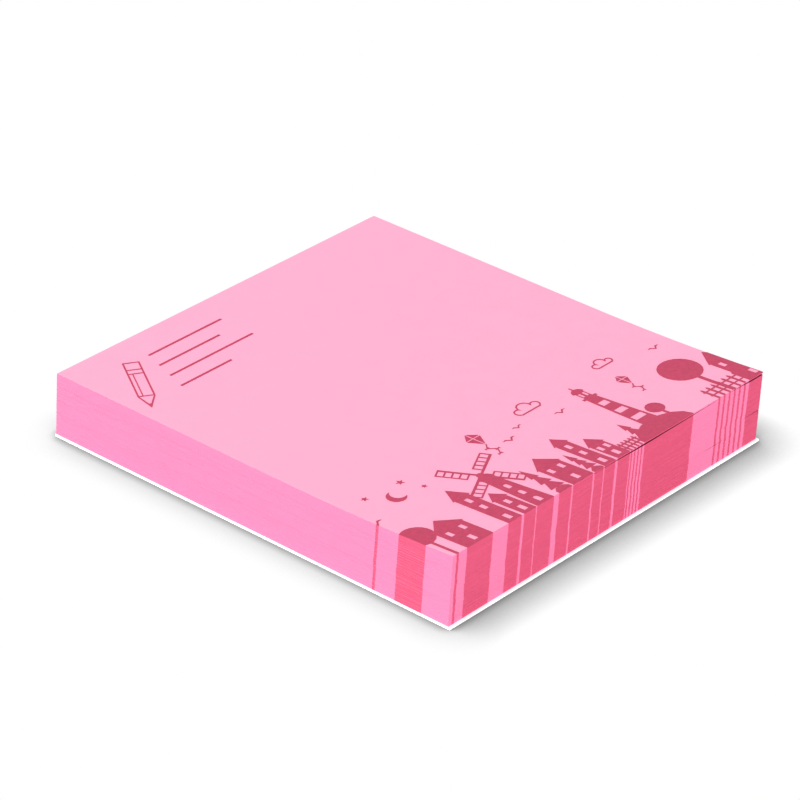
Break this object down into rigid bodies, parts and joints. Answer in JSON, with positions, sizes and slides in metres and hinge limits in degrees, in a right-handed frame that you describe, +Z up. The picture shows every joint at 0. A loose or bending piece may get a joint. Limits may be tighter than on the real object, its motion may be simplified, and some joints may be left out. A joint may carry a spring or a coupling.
{
  "type": "sticky note pad",
  "caption": "Rectangular pad of printed sticky notes, glued along one edge and fanned a little at the other, on a thin white liner sheet.",
  "frame": {"origin": "centre of the liner's underside, the face the pad rests on", "axes": "+X along the reading width, +Y along the note height towards the glued edge, +Z up through the stack"},
  "size_m": [0.0684, 0.0754, 0.0115],
  "materials": {
    "pink_paper": "uncoated",
    "white_liner": "smooth",
    "crimson_ink": "uncoated",
    "edge_ink": "uncoated"
  },
  "bodies": {
    "root": {"note_sheets": "pink_paper", "liner_sheet": "white_liner", "skyline_print": "crimson_ink", "edge_print": "edge_ink"}
  },
  "joints": []
}
